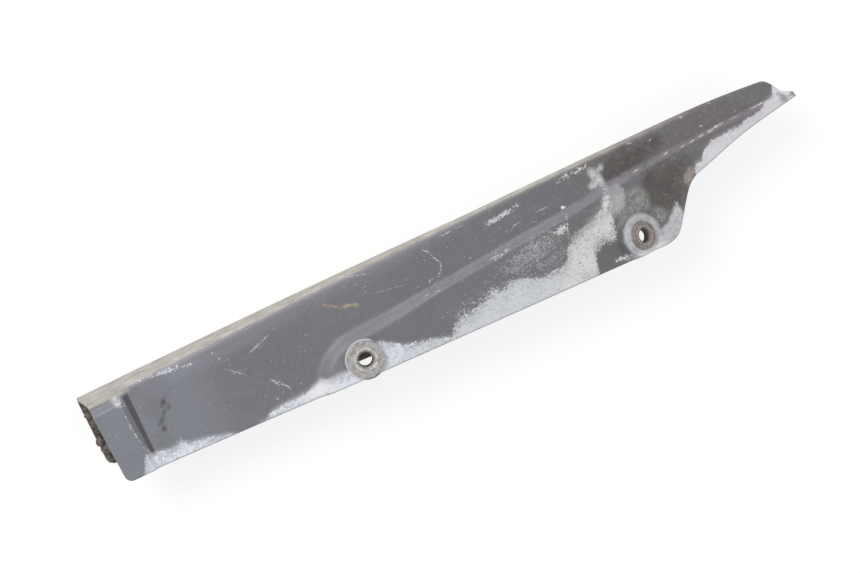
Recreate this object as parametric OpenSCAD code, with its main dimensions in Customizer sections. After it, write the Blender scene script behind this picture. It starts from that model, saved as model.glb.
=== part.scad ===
// Motorcycle chain guard: one moulded channel with a steel collar in each fixing hole.
// The origin is on the axis of the front fixing hole, halfway along its collar's bore.
// X runs to the tail, Y up to the top corner, Z out of the outer face.

/* [Fixings] */
// Distance between the two fixing holes, along the guard
fixing_pitch = 156.5; // [150:0.5:165]
// How far the rear fixing lies below the front one
rear_fixing_drop = 4.1; // [0:0.1:5]
// Lean of the rear fixing towards the tail, in degrees
rear_cant = 28; // [0:1:32]
// Gap round each collar's sleeve, on the radius
collar_clearance = 0.1; // [0.05:0.01:0.3]

/* [Outline] */
// Front end of the outer face, ahead of the front fixing
front_reach = 135.3; // [125:0.1:150]
// Tail tip, behind the front fixing
tail_reach = 261; // [250:1:275]
// Height of the top corner at the front end
front_rise = 39.9; // [36:0.1:44]
// How much higher the crown of the top corner is
arch_rise = 4.3; // [1:0.1:8]
// Where the top corner is highest
arch_x = 125; // [110:1:200]
// Fall of the top corner at the tail
tail_fall = 3.6; // [2:0.1:8]
// Lower edge below the fixing line, at the front end
front_drop = 5.5; // [2:0.1:6]
// Lower edge below the fixing line, at the front fixing
mid_drop = 9.9; // [8:0.1:11]
// Lower edge below the fixing line, at the rear fixing
lug_drop = 14.4; // [13:0.1:17]
// Round of the front lower corners
corner_round = 4; // [2:0.5:6]
// Height of the tail tip
tip_rise = 26.9; // [25:0.1:30]
// How far the tail end is cut back from the tip, at the top corner
tail_cut = 12.8; // [6:0.1:16]

/* [Section] */
// Wall of the moulding
wall = 2.5; // [1.5:0.1:3]
// Depth of the channel, from the front panel to the back of the inner wall
depth = 34; // [28:1:42]
// Round of the channel's two corners, outside
bend = 4; // [3.2:0.1:6]
// Lean of the top flange at the front end, outwards
front_lean = 1; // [-2:0.1:3]
// Lean of the top flange behind the middle, inwards
rear_lean = 4.5; // [0:0.1:7]
// How much shallower the top flange is at the tail
tail_shallow = 11; // [0:1:16]
// How far the inner wall reaches ahead of the outer face
inner_reach = 7.7; // [0:0.5:12]
// Lower edge of the inner wall below the fixing line, at the front fixing
inner_drop = 6.5; // [4:0.1:8]
// Where the inner wall starts to run out
inner_end = 14; // [5:1:30]
// Length over which the inner wall runs out
inner_runout = 40; // [25:1:60]
// Lip that is left along the flange behind the inner wall
lip = 3; // [1.5:0.1:6]

/* [Front band] */
// Width of the raised band at the front end
band_w = 17.3; // [12:0.1:26]
// Height of the band
band_h = 2.4; // [0.5:0.1:3.5]
// Width of the slope behind it
band_slope = 2.3; // [1:0.1:4]

/* [Lower panel] */
// How far the lower panel stands out from the upper one
step_h = 4; // [1:0.1:6]
// Width of the step's slope round the front fixing
nose_slope = 8; // [5:0.1:10]
// Width of the step's slope along the middle
step_slope = 4.5; // [3:0.1:6]
// Width of the step's slope along the tail
ridge_slope = 2.4; // [1.5:0.1:4]
// Reach of the step's round nose ahead of the front fixing
nose_reach = 29; // [26:1:34]
// Height of the step above the front fixing
nose_rise = 15.5; // [15:0.1:19]
// Height of the step at the middle of the guard
step_mid_rise = 23.1; // [21:0.1:26]
// Height of the step over the rear fixing
step_rear_rise = 26.2; // [25:0.1:29]
// Height of the step at the root of the tail
step_root_rise = 29.3; // [27:0.1:32]
// Height of the step at the tail end
step_tail_rise = 31.1; // [30:0.1:33]
// Fall of the lower panel from the step to the tail's lower edge
fin_fall = 1.2; // [0:0.1:2]
// Round-over of the lower edge
edge_round = 0.9; // [0.2:0.1:1.2]

/* [Rear lug] */
// Rear edge of the lug behind the rear fixing, level with the lower edge's corner
lug_back = 21.5; // [20:0.5:24]
// Height of the notch where the lug meets the tail
notch_rise = 11.4; // [8:0.1:14]
// Run of the slanted rear edge up to that notch
notch_run = 17; // [14:0.5:22]

/* [Front collar] */
// Flange diameter
front_flange_d = 19.4; // [17:0.1:21]
// Flange thickness
front_flange_t = 1.8; // [1:0.1:3]
// Sleeve diameter
front_sleeve_d = 11; // [10.6:0.1:13]
// Length over all
front_collar_l = 5.6; // [4.5:0.1:8]
// Bore
front_bore_d = 7.2; // [6:0.1:8]
// How much wider the flared mouth is than the bore, on the radius
front_flare = 1.8; // [0.5:0.1:2]
// Pad's margin round the flange
pad_margin = 1; // [0.2:0.1:1.5]
// Height of the pad above the lower panel
front_pad_h = 1; // [0.2:0.1:2]

/* [Rear collar] */
// Flange diameter
rear_flange_d = 14.9; // [13:0.1:16]
// Flange thickness
rear_flange_t = 1.6; // [1:0.1:2.5]
// Sleeve diameter
rear_sleeve_d = 9.8; // [9.2:0.1:11]
// Length over all
rear_collar_l = 4.4; // [3.5:0.1:6]
// Bore
rear_bore_d = 6.3; // [5.5:0.1:7]
// How much wider the flared mouth is than the bore, on the radius
rear_flare = 1.1; // [0.2:0.1:1.2]
// Diameter of the leaning pad
rear_pad_d = 18; // [16.5:0.1:20]
// Height of the pad's middle above the lower panel
rear_pad_h = 1.5; // [0.5:0.1:4]
// Height of the leaning pad above the dished panel round it
rear_rim_h = 0.5; // [0.2:0.1:1]
// Width of the dished ring that blends the leaning pad into the panel
dish_w = 6.5; // [4:0.1:8]

/* [Hidden] */
$fn = 72;
eps = 0.01;

// Places that follow from the sizes above
front_x = -front_reach;
band_x = front_x + band_w;
nose_x = -nose_reach;
lug_x = fixing_pitch + lug_back;
notch_x = lug_x + notch_run;
fin_mid_x = (notch_x + tail_reach) / 2;
fin_mid_y = tip_rise - (tip_rise - notch_rise) * 0.38;
rear_at = [fixing_pitch, -rear_fixing_drop, step_h + rear_pad_h];
front_seat = step_h + front_pad_h;
pad_d = front_flange_d + 2 * pad_margin;
mouth = 1.5;
level = front_seat + front_flange_t - (mouth * front_flare + front_collar_l) / 2;

// Sheet of section lines: how many lines each stretch of the section gets
low_n = 10;
slope_n = 4;
high_n = 5;
plate_n = low_n + slope_n + high_n;
bend_n = 4;
inner_n = 3;

// Shares of the tail's cut at the foot of the step, at its head and where the corner starts
cut_foot = 0.08;
cut_head = 0.44;
cut_bend = 0.66;

function clamp01(t) = max(0, min(1, t));
function smooth(t) = let (u = clamp01(t)) u * u * (3 - 2 * u);
function mix(a, b, t) = a + (b - a) * t;
function spread(a, b, n) = [for (i = [1:n]) mix(a, b, i / n)];

// Smooth curve y(x) through a few points
function span_of(x, p, i = 0) = i >= len(p) - 2 || x < p[i + 1][0] ? i : span_of(x, p, i + 1);
function rise_run(a, b) = (b[1] - a[1]) / (b[0] - a[0]);
function slope_at(p, i) = rise_run(p[max(i - 1, 0)], p[min(i + 1, len(p) - 1)]);
function curve(x, p) =
    let (i = span_of(x, p), a = p[i], b = p[i + 1], w = b[0] - a[0], u = (x - a[0]) / w, v = 1 - u)
    a[1] * (1 + 2 * u) * v * v + b[1] * (1 + 2 * v) * u * u
    + w * u * v * (slope_at(p, i) * v - slope_at(p, i + 1) * u);

// Top corner: a long arch that falls away at the tail
function top_y(x) =
    front_rise + arch_rise * (1 - pow((arch_x - x) / (arch_x + front_reach), 2))
    - tail_fall * pow(clamp01((x - notch_x) / (tail_reach - notch_x)), 2);

// Lower edge: rounded front corner, long edge, lug, notch and the underside of the tail
edge_points = [
    [front_x, -front_drop],
    [band_x, -front_drop],
    [0, -mid_drop],
    [lug_x - 22, -lug_drop],
    [lug_x - 9, -lug_drop],
    [lug_x - 3, -lug_drop + 2.4],
    [lug_x, -lug_drop + 6],
    [notch_x - 6, notch_rise - 4.8],
    [notch_x, notch_rise],
    [notch_x + 8, notch_rise + 2.5],
    [fin_mid_x, fin_mid_y],
    [tail_reach, tip_rise]
];
function corner_lift(x) =
    let (u = clamp01((x - front_x) / corner_round)) corner_round * (1 - sqrt(1 - pow(1 - u, 2)));
function low_y(x) =
    (x < band_x ? -front_drop : curve(x, edge_points)) + corner_lift(x);

// Line of the step between the upper and the lower panel
step_points = [
    [0, nose_rise],
    [40, mix(nose_rise, step_mid_rise, 0.3)],
    [93, step_mid_rise],
    [fixing_pitch, step_rear_rise],
    [notch_x, step_root_rise],
    [tail_reach, step_tail_rise]
];
function step_y(x) = curve(max(x, 0), step_points);
function slope_w(x) =
    mix(mix(nose_slope, step_slope, smooth(x / 60)), ridge_slope, smooth((x - fixing_pitch) / 40));

// How far a point lies inside the step's line, round its nose and along it
function inside(x, y) =
    let (v = y + mid_drop, b = nose_rise + mid_drop, rho = norm([x / nose_reach, v / b]))
    x < 0 ? norm([x, v]) * (1 / max(rho, eps) - 1) : step_y(x) - y;

// Outer face of the plate
function step_z(x, y) = step_h * smooth(0.5 + inside(x, y) / slope_w(x));
function band_z(x, y) =
    band_h * clamp01((band_x - x) / band_slope) * smooth((top_y(x) - bend - y) / bend);
function fin_z(x, y) =
    -fin_fall * smooth((x - lug_x) / (notch_x - lug_x))
    * clamp01((step_y(x) - y) / (step_y(x) - low_y(x)));

// The panel is dished round the rear fixing, to lie square to its bolt
function pad_radius(x, y) = norm([(x - rear_at[0]) / cos(rear_cant), y - rear_at[1]]);
function dish_z(x) = rear_at[2] - rear_rim_h - (x - rear_at[0]) * tan(rear_cant);
function dish_share(x, y) = smooth(1 - (pad_radius(x, y) - rear_pad_d / 2) / dish_w);
function face_z(x, y) =
    mix(step_z(x, y) + band_z(x, y) + fin_z(x, y), dish_z(x), dish_share(x, y));

// Height of section line j on the plate: evenly spaced ahead of the front fixing, then
// gathered along the step
function even_y(x, j) = mix(low_y(x), top_y(x) - bend, j / plate_n);
function gathered_y(x, j) =
    let (foot = step_y(x) - slope_w(x) / 2, head = step_y(x) + slope_w(x) / 2)
    j <= low_n ? mix(low_y(x), foot, j / low_n)
    : j <= low_n + slope_n ? mix(foot, head, (j - low_n) / slope_n)
    : mix(head, top_y(x) - bend, (j - low_n - slope_n) / high_n);
function plate_y(x, j) = mix(even_y(x, j), gathered_y(x, j), smooth((x + 6) / 18));

// Flange, inner wall and the slant of both ends
function lean(x) = mix(front_lean, -rear_lean, clamp01((x + front_reach) / 266));
function depth_at(x) = depth - tail_shallow * smooth((x - fixing_pitch - 20) / 80);
function inner_y(x) =
    mix(
        -inner_drop * (1 + x / front_reach * 1.15) + corner_lift(x),
        top_y(x) + lean(x) - bend - lip,
        smooth((x - inner_end) / inner_runout)
    );
function front_share(x) = 1 - clamp01((x - front_x) / 40);
function tail_share(x) = clamp01((x - notch_x - 8) / (tail_reach - notch_x - 8));
function cut_share(j) =
    j <= low_n ? cut_foot * j / low_n
    : j <= low_n + slope_n ? mix(cut_foot, cut_head, (j - low_n) / slope_n)
    : mix(cut_head, cut_bend, (j - low_n - slope_n) / high_n);

// One point of the sheet: side 0 is the outer skin and side 1 the inner one
function plate_point(xn, j, side) =
    let (
        xt = xn - tail_share(xn) * tail_cut * cut_share(j),
        y = plate_y(xt, j),
        round_off = j == 0 && side == 0 ? edge_round : 0
    )
    [xt - 1.2 * front_share(xn) * j / plate_n, y, face_z(xt, y) - side * wall - round_off];
function folded_point(xn, a, back, side) =
    let (
        xt = xn - tail_share(xn) * tail_cut * mix(cut_bend, 1, clamp01(a / 90)),
        rs = bend - side * wall,
        z = (back ? bend - depth_at(xt) : -bend) + rs * cos(a),
        far = clamp01((-z - bend) / (depth_at(xt) - 2 * bend))
    )
    [
        xt - front_share(xn) * (1.2 + inner_reach * clamp01(-z / depth)),
        top_y(xt) - bend + rs * sin(a) + lean(xt) * far,
        z
    ];
function section(xn, side) =
    concat(
        [for (j = [0:plate_n]) plate_point(xn, j, side)],
        [for (k = [1:bend_n]) folded_point(xn, 90 * k / bend_n, false, side)],
        [for (k = [0:bend_n]) folded_point(xn, 90 + 90 * k / bend_n, true, side)],
        [for (k = [1:inner_n])
            let (p = folded_point(xn, 180, true, side))
            [p[0], mix(p[1], inner_y(xn), k / inner_n), p[2]]]
    );

// Stations along the guard, close together where the form changes quickly
stations = concat(
    [for (s = [0, 0.1, 0.4, 1]) front_x + s * corner_round],
    [band_x - band_slope, band_x],
    spread(band_x, nose_x - 6, 7),
    spread(nose_x - 6, 6, 16),
    spread(6, fixing_pitch - 16, 11),
    spread(fixing_pitch - 16, fixing_pitch + 16, 16),
    spread(fixing_pitch + 16, notch_x + 8, 13),
    spread(notch_x + 8, tail_reach, 7)
);

module sheet() {
    m = len(section(0, 0));
    n = len(stations);
    points = [for (side = [0, 1], x = stations) each section(x, side)];
    inner = m * n;
    skin = [for (i = [0:n - 2], j = [0:m - 2])
        let (a = i * m + j, b = a + 1, c = a + m, d = c + 1)
        each [[a, b, d], [a, d, c], [inner + a, inner + d, inner + b], [inner + a, inner + c, inner + d]]];
    long_edges = [for (i = [0:n - 2])
        let (a = i * m, b = a + m, c = a + m - 1, d = b + m - 1)
        each [[a, b, inner + b], [a, inner + b, inner + a], [c, inner + d, d], [c, inner + c, inner + d]]];
    ends = [for (j = [0:m - 2])
        let (a = j, b = (n - 1) * m + j)
        each [[a, inner + a, inner + a + 1], [a, inner + a + 1, a + 1],
            [b, inner + b + 1, inner + b], [b, b + 1, inner + b + 1]]];
    polyhedron(points, concat(skin, long_edges, ends), convexity = 6);
}

module at_rear() {
    translate(rear_at) rotate([0, rear_cant, 0]) children();
}

// Moves a piece made level with the front panel to the part's own origin
module in_frame() {
    translate([0, 0, -level]) children();
}

// Round pad on the lower panel, under the front collar's flange
module front_pad() {
    translate([0, 0, step_h - wall]) cylinder(d = pad_d, h = wall + front_pad_h);
}

// Leaning pad under the rear collar's flange
module rear_pad() {
    at_rear() translate([0, 0, -wall]) cylinder(d = rear_pad_d, h = wall);
}

module guard() {
    color([0.45, 0.45, 0.48])
        in_frame() difference() {
            union() {
                sheet();
                front_pad();
                rear_pad();
            }
            cylinder(d = front_sleeve_d + 2 * collar_clearance, h = depth, center = true);
            at_rear()
                cylinder(d = rear_sleeve_d + 2 * collar_clearance, h = 8 * wall, center = true);
        }
}

// Flanged collar with a flared mouth, its flange's underside at height 0
module collar(flange_d, flange_t, sleeve_d, length, bore_d, flare) {
    under = flange_t - length;
    rim = flange_t / 4;
    rotate_extrude()
        polygon([
            [bore_d / 2, under],
            [sleeve_d / 2, under],
            [sleeve_d / 2, 0],
            [flange_d / 2, 0],
            [flange_d / 2, flange_t - rim],
            [flange_d / 2 - rim, flange_t],
            [bore_d / 2 + flare, flange_t],
            [bore_d / 2 + flare * 0.35, flange_t - flare * 0.8],
            [bore_d / 2, flange_t - flare * mouth]
        ]);
}

module front_collar() {
    color([0.58, 0.57, 0.56])
        in_frame() translate([0, 0, front_seat])
            collar(front_flange_d, front_flange_t, front_sleeve_d, front_collar_l,
                front_bore_d, front_flare);
}

module rear_collar() {
    color([0.55, 0.48, 0.42])
        in_frame() at_rear()
            collar(rear_flange_d, rear_flange_t, rear_sleeve_d, rear_collar_l,
                rear_bore_d, rear_flare);
}

guard();
front_collar();
rear_collar();
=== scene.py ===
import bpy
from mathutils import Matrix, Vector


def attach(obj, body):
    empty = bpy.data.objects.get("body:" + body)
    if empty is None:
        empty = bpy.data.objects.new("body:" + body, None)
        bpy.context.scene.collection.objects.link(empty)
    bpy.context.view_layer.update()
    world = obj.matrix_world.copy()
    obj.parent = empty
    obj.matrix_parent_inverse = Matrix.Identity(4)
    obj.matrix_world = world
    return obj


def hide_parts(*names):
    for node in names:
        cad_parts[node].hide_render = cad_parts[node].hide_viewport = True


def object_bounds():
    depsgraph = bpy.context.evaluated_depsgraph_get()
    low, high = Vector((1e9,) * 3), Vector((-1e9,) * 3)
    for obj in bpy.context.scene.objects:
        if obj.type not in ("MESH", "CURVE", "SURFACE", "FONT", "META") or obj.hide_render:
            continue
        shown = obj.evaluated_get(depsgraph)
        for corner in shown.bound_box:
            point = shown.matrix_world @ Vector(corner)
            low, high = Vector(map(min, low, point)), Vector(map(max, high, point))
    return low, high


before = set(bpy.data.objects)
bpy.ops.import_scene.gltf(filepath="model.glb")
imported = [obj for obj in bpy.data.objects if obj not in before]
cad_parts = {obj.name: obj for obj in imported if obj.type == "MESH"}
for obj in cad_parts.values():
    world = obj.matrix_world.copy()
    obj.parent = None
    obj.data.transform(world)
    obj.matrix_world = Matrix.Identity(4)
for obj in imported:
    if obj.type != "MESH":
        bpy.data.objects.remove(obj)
cad_box = [list(corner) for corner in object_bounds()]

import math
import random

import bmesh
import bpy
import numpy as np
from mathutils import Matrix, Vector, noise

# Sizes are in millimetres, with height 0 level with the flat front panel
MM = 0.001

# Outline, placed from the front fixing's axis
FRONT_REACH = 135.3
TAIL_REACH = 261.0
FRONT_RISE = 39.9
ARCH_RISE = 4.3
ARCH_X = 125.0
TAIL_FALL = 3.6
FRONT_DROP = 5.5
MID_DROP = 9.9
LUG_DROP = 14.4
CORNER_ROUND = 4.0
TIP_RISE = 26.9
TAIL_CUT = 12.8
FIXING_PITCH = 156.5
LUG_X = FIXING_PITCH + 21.5
NOTCH_RISE = 11.4
NOTCH_X = LUG_X + 17.0
CUT_X = NOTCH_X + 8.0

# Shares of the tail's cut at the step's foot, at its crest and at the bend
CUT_FOOT, CUT_HEAD, CUT_BEND = 0.08, 0.44, 0.66

# Section
WALL = 2.5
DEPTH = 34.0
BEND = 4.0
FRONT_LEAN = 1.0
REAR_LEAN = 4.5
LEAN_RUN = 266.0
TAIL_SHALLOW = 11.0
INNER_REACH = 7.7
INNER_DROP = 6.5
INNER_END = 14.0
INNER_RUNOUT = 40.0
LIP = 3.0
END_SLANT = 1.2
END_RUN = 40.0
OUTER_ROUND = 1.3
INNER_ROUND = 0.6

# Front band and lower panel
BAND_X = -FRONT_REACH + 17.3
BAND_H = 2.4
BAND_SLOPE = 2.3
STEP_H = 4.0
NOSE_SLOPE = 8.0
STEP_SLOPE = 4.5
RIDGE_SLOPE = 2.4
NOSE_REACH = 25.5
NOSE_RISE = 13.0
FIN_FALL = 1.2

# Fixings; a collar's mouth is MOUTH times as deep as it flares
FRONT_SEAT = STEP_H + 1.0
FRONT_PAD_R = 10.7
REAR_AT = (FIXING_PITCH, -4.1, STEP_H + 1.5)
REAR_CANT = math.radians(28)
REAR_PAD_R = 9.0
REAR_RIM_H = 0.5
DISH_W = 6.5
CLEARANCE = 0.1
MOUTH = 1.5
FRONT_CUT = dict(radius=8.6, low=-13.0, high=15.0)
REAR_CUT = dict(radius=7.2, low=-8.0, high=12.0)
FRONT_COLLAR = dict(flange_r=9.7, flange_t=1.8, sleeve_r=5.5, length=5.6, bore_r=3.6, flare=1.8)
REAR_COLLAR = dict(flange_r=7.45, flange_t=1.6, sleeve_r=4.9, length=4.4, bore_r=3.15, flare=1.1)

# Height of the solids' origin, halfway along the front collar's bore
LEVEL = FRONT_SEAT + FRONT_COLLAR["flange_t"] - (MOUTH * FRONT_COLLAR["flare"] + FRONT_COLLAR["length"]) / 2

# Spans of the plate below, on and above the step
LOW_N, SLOPE_N, HIGH_N = 5, 4, 5
ROOT_N = LOW_N + SLOPE_N
PLATE_N = ROOT_N + HIGH_N

# Rounding of the free edges, and sides of the round pieces
RIM_ROUND = 0.5
PLUG_SIDES, PAD_SIDES, COLLAR_SIDES = 96, 96, 128

# Wear and the painted highlights are placed by their height above a line this far below the front fixing's
# axis
MARK_SHIFT = 0.55

# Half width of the change from a flake to bare moulding, in levels of noise
FLAKE_EDGE = 0.03

# How far each noise of a material is moved from the one before, in millimetres
NOISE_SHIFT = (37.1, 11.7, 5.3)

# Grease at the open front end
GREASE_SEED = 11
GREASE_ROWS, GREASE_COLUMNS = 7, 3
GREASE_PITCH = 4.2
GREASE_GRAIN = 0.5

# Camera: the long axis of the guard rises by this angle in the picture
CAMERA_AT = (-27.2, 164.85, 900.0)
CAMERA_TARGET = (45.8, 18.85, 0.0)
GUARD_ANGLE = math.radians(25.5)
FOCAL_PIXELS = 1785.0
IMAGE_W = 860.0
SENSOR = 36.0
LAMP_AIM = (0.05, 0.02, 0)


def srgb(r, g, b):
    """Linear colour from display values of 0 to 255."""
    def linear(c):
        c /= 255
        return c / 12.92 if c <= 0.04045 else ((c + 0.055) / 1.055) ** 2.4
    return (linear(r), linear(g), linear(b), 1.0)


def smooth(t):
    t = np.clip(t, 0, 1)
    return t * t * (3 - 2 * t)


def mix(a, b, t):
    return a + (b - a) * t


def curve(x, points):
    """Smooth curve y(x) through a few points."""
    px, py = np.array(points, float).T
    slopes = np.empty(len(px))
    slopes[1:-1] = (py[2:] - py[:-2]) / (px[2:] - px[:-2])
    slopes[0] = (py[1] - py[0]) / (px[1] - px[0])
    slopes[-1] = (py[-1] - py[-2]) / (px[-1] - px[-2])
    i = np.clip(np.searchsorted(px, x, side="right") - 1, 0, len(px) - 2)
    w = px[i + 1] - px[i]
    u = (x - px[i]) / w
    v = 1 - u
    ends = py[i] * (1 + 2 * u) * v * v + py[i + 1] * (1 + 2 * v) * u * u
    return ends + w * u * v * (slopes[i] * v - slopes[i + 1] * u)


# Lower edge of the outer face and middle of the step
EDGE_POINTS = [
    (-FRONT_REACH, -FRONT_DROP),
    (BAND_X, -FRONT_DROP),
    (0, -MID_DROP),
    (LUG_X - 22, -LUG_DROP),
    (LUG_X - 9, -LUG_DROP),
    (LUG_X - 3, -LUG_DROP + 2.4),
    (LUG_X, -LUG_DROP + 6),
    (NOTCH_X - 6, NOTCH_RISE - 4.8),
    (NOTCH_X, NOTCH_RISE),
    (NOTCH_X + 8, NOTCH_RISE + 2.5),
    ((NOTCH_X + TAIL_REACH) / 2, TIP_RISE - (TIP_RISE - NOTCH_RISE) * 0.38),
    (TAIL_REACH, TIP_RISE),
]
STEP_POINTS = [
    (0, NOSE_RISE), (20, 14.0), (40, 16.0), (66, 18.1), (93, 20.4), (125, 22.8), (148, 25.8),
    (170, 27.9), (NOTCH_X, 29.3), (TAIL_REACH, 31.1),
]


def top_y(x):
    """Upper edge of the outer face, a low arch that falls towards the tail."""
    arch = ARCH_RISE * (1 - ((ARCH_X - x) / (ARCH_X + FRONT_REACH)) ** 2)
    fall = TAIL_FALL * np.clip((x - NOTCH_X) / (TAIL_REACH - NOTCH_X), 0, 1) ** 2
    return FRONT_RISE + arch - fall


def corner_lift(x):
    """Lift of the lower edge at the rounded front corner."""
    u = np.clip((x + FRONT_REACH) / CORNER_ROUND, 0, 1)
    return CORNER_ROUND * (1 - np.sqrt(1 - (1 - u) ** 2))


def low_y(x):
    """Lower edge of the outer face."""
    return np.where(x < BAND_X, -FRONT_DROP, curve(x, EDGE_POINTS)) + corner_lift(x)


def step_y(x):
    """Middle of the step behind the front fixing, which runs on as the tail's ridge."""
    return curve(np.maximum(x, 0), STEP_POINTS)


def slope_w(x):
    """Width of the step's slope."""
    middle = mix(NOSE_SLOPE, STEP_SLOPE, smooth(x / 60))
    return mix(middle, RIDGE_SLOPE, smooth((x - FIXING_PITCH) / 40))


def inside(x, y):
    """How far a point lies inside the step's line."""
    v = y + MID_DROP
    rho = np.hypot(x / NOSE_REACH, v / (NOSE_RISE + MID_DROP))
    round_nose = np.hypot(x, v) * (1 / np.maximum(rho, 0.01) - 1)
    return np.where(x < 0, round_nose, step_y(x) - y)


def band_z(x, y):
    """Raised band at the front end, its step a little chipped."""
    fade = smooth((top_y(x) - BEND - y) / BEND)
    chipped = 0.10 * np.sin(y * 4.1 + 1.0) * np.sin(y * 1.7) + 0.07 * np.sin(y * 9.3 + x)
    t = (BAND_X - x) / BAND_SLOPE * (1 + chipped)
    foot = np.where(t < 0.35, 1.1 * np.clip(t + 0.25, 0, 1) ** 2, t)
    return BAND_H * np.clip(foot, 0, 1) * fade


def fin_z(x, y):
    """Slight fall of the tail below its ridge."""
    down = np.clip((step_y(x) - y) / (step_y(x) - low_y(x)), 0, 1)
    return -FIN_FALL * smooth((x - LUG_X) / (NOTCH_X - LUG_X)) * down


def dish_share(x, y):
    """Share of the dish round the rear fixing, 1 on the leaning pad and 0 on the panel."""
    radius = np.hypot((x - REAR_AT[0]) / math.cos(REAR_CANT), y - REAR_AT[1])
    return smooth(1 - (radius - REAR_PAD_R) / DISH_W)


def face_z(x, y):
    """Height of the outer face."""
    panel = STEP_H * smooth(0.5 + inside(x, y) / slope_w(x)) + band_z(x, y) + fin_z(x, y)
    dish = REAR_AT[2] - REAR_RIM_H - (x - REAR_AT[0]) * math.tan(REAR_CANT)
    return mix(panel, dish, dish_share(x, y))


def plate_y(x, j):
    """Height of the plate's section lines, gathered at the step behind the front fixing."""
    low, high = low_y(x), top_y(x) - BEND
    even = mix(low, high, j / PLATE_N)
    foot, head = step_y(x) - slope_w(x) / 2, step_y(x) + slope_w(x) / 2
    gathered = np.where(
        j <= LOW_N, mix(low, foot, j / LOW_N),
        np.where(
            j <= ROOT_N, mix(foot, head, (j - LOW_N) / SLOPE_N),
            mix(head, high, (j - ROOT_N) / HIGH_N)))
    return mix(even, gathered, smooth((x + 6) / 18))


def lean(x):
    """How far the flange's far side stands above its near side, less than 0 at the tail."""
    return mix(FRONT_LEAN, -REAR_LEAN, np.clip((x + FRONT_REACH) / LEAN_RUN, 0, 1))


def depth_at(x):
    """Depth of the channel, shallower towards the tail."""
    return DEPTH - TAIL_SHALLOW * smooth((x - FIXING_PITCH - 20) / 80)


def inner_y(x):
    """Free edge of the inner wall, which runs out behind the front fixing."""
    full = -INNER_DROP * (1 + x / FRONT_REACH * 1.15) + corner_lift(x)
    lip = top_y(x) + lean(x) - BEND - LIP
    return mix(full, lip, smooth((x - INNER_END) / INNER_RUNOUT))


def front_share(x):
    """Share of the front end's slant, fading along the guard."""
    return 1 - np.clip((x + FRONT_REACH) / END_RUN, 0, 1)


def tail_share(x):
    """Share of the tail's cut, growing towards the tip."""
    return np.clip((x - CUT_X) / (TAIL_REACH - CUT_X), 0, 1)


def cut_share(j):
    """Share of the tail's cut on each section line of the plate."""
    return np.interp(j, (0, LOW_N, ROOT_N, PLATE_N), (0, CUT_FOOT, CUT_HEAD, CUT_BEND))


def rim_share(distance):
    """Share of the wall left at a distance from a free edge, for a rounded rim."""
    t = np.clip(distance / RIM_ROUND, 0, 1)
    return np.sqrt(np.maximum(1 - (1 - t) ** 2, 0.02))


def round_off(distance, radius):
    """Depth that a rounded edge has lost at a distance from its rim."""
    t = np.clip(distance / radius, 0, 1)
    return radius * (1 - np.sqrt(1 - (1 - t) ** 2))


def plate_lines():
    """Positions of the section lines on the plate, close together at the lower edge."""
    edge = [0, 0.02, 0.045, 0.08, 0.13, 0.19]
    low = list(np.linspace(0.26, LOW_N, 34))
    slope = list(LOW_N + np.linspace(0, SLOPE_N, 17)[1:])
    high = list(ROOT_N + np.linspace(0, HIGH_N, 30)[1:])
    return np.array(edge + low + slope + high)


def station_list():
    """Positions along the guard, close together at both ends and at the front band."""
    front = -FRONT_REACH + np.array([0, 0.08, 0.2, 0.4, 0.7, 1.1, 1.6, 2.2, 3.0, 4.0, 5.2])
    band = np.arange(BAND_X - 4.2, BAND_X + 1.6, 0.24)
    tail = TAIL_REACH - np.array([1.2, 0.8, 0.5, 0.3, 0.15, 0.06, 0])
    return np.concatenate([
        front,
        np.linspace(front[-1], band[0], 7)[1:-1],
        band,
        np.linspace(band[-1], -36, 44)[1:-1],
        np.linspace(-36, 14, 46),
        np.linspace(14, LUG_X - 24, 78)[1:],
        np.linspace(LUG_X - 24, NOTCH_X + 12, 46)[1:],
        np.linspace(NOTCH_X + 12, tail[0], 34)[1:-1],
        tail,
    ])


def plate_skins(station, rim):
    """Outer and inner skin of the plate; rim is what each skin loses at the ends."""
    j = plate_lines()[None, :]
    x = station - tail_share(station) * TAIL_CUT * cut_share(j)
    y = plate_y(x, j)
    z = face_z(x, y)
    up = y - low_y(x)
    x = x - END_SLANT * front_share(station) * j / PLATE_N
    outer = np.stack([x, y, z - np.maximum(rim, round_off(up, OUTER_ROUND))], -1)
    inner = np.stack([x, y, z - WALL + np.maximum(rim, round_off(up, INNER_ROUND))], -1)
    return outer, inner


def channel(station, angle, back, part):
    """Points round the channel's bends, part below the skin; back is the share of the flange crossed."""
    bent = np.clip(angle / math.radians(90), 0, 1)
    x = station - tail_share(station) * TAIL_CUT * mix(CUT_BEND, 1, bent)
    deep = depth_at(x)
    radius = BEND - part
    z = mix(-BEND, BEND - deep, back) + radius * np.cos(angle)
    far = np.clip((-z - BEND) / (deep - 2 * BEND), 0, 1)
    y = top_y(x) - BEND + radius * np.sin(angle) + lean(x) * far
    x = x - front_share(station) * (END_SLANT + INNER_REACH * np.clip(-z / DEPTH, 0, 1))
    return np.broadcast_arrays(x, y, z)


def wall_skins(station, end_gap, rim):
    """Outer and inner skin of the inner wall, from the far bend down to its free edge."""
    reach = np.concatenate([np.linspace(0, 1, 22)[1:-1], [0.985, 0.993, 0.998, 1.0]])[None, :]
    free = inner_y(station)
    start = channel(station, math.radians(180), 1.0, rim)[1]
    gap = np.abs(start - free) * (1 - reach)
    half = WALL / 2 * (1 - rim_share(np.minimum(end_gap, gap)))
    skins = []
    for part in (half, WALL - half):
        x, _, z = channel(station, math.radians(180), 1.0, part)
        skins.append(np.stack([x, mix(start, free, reach), z], -1))
    return skins


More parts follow.
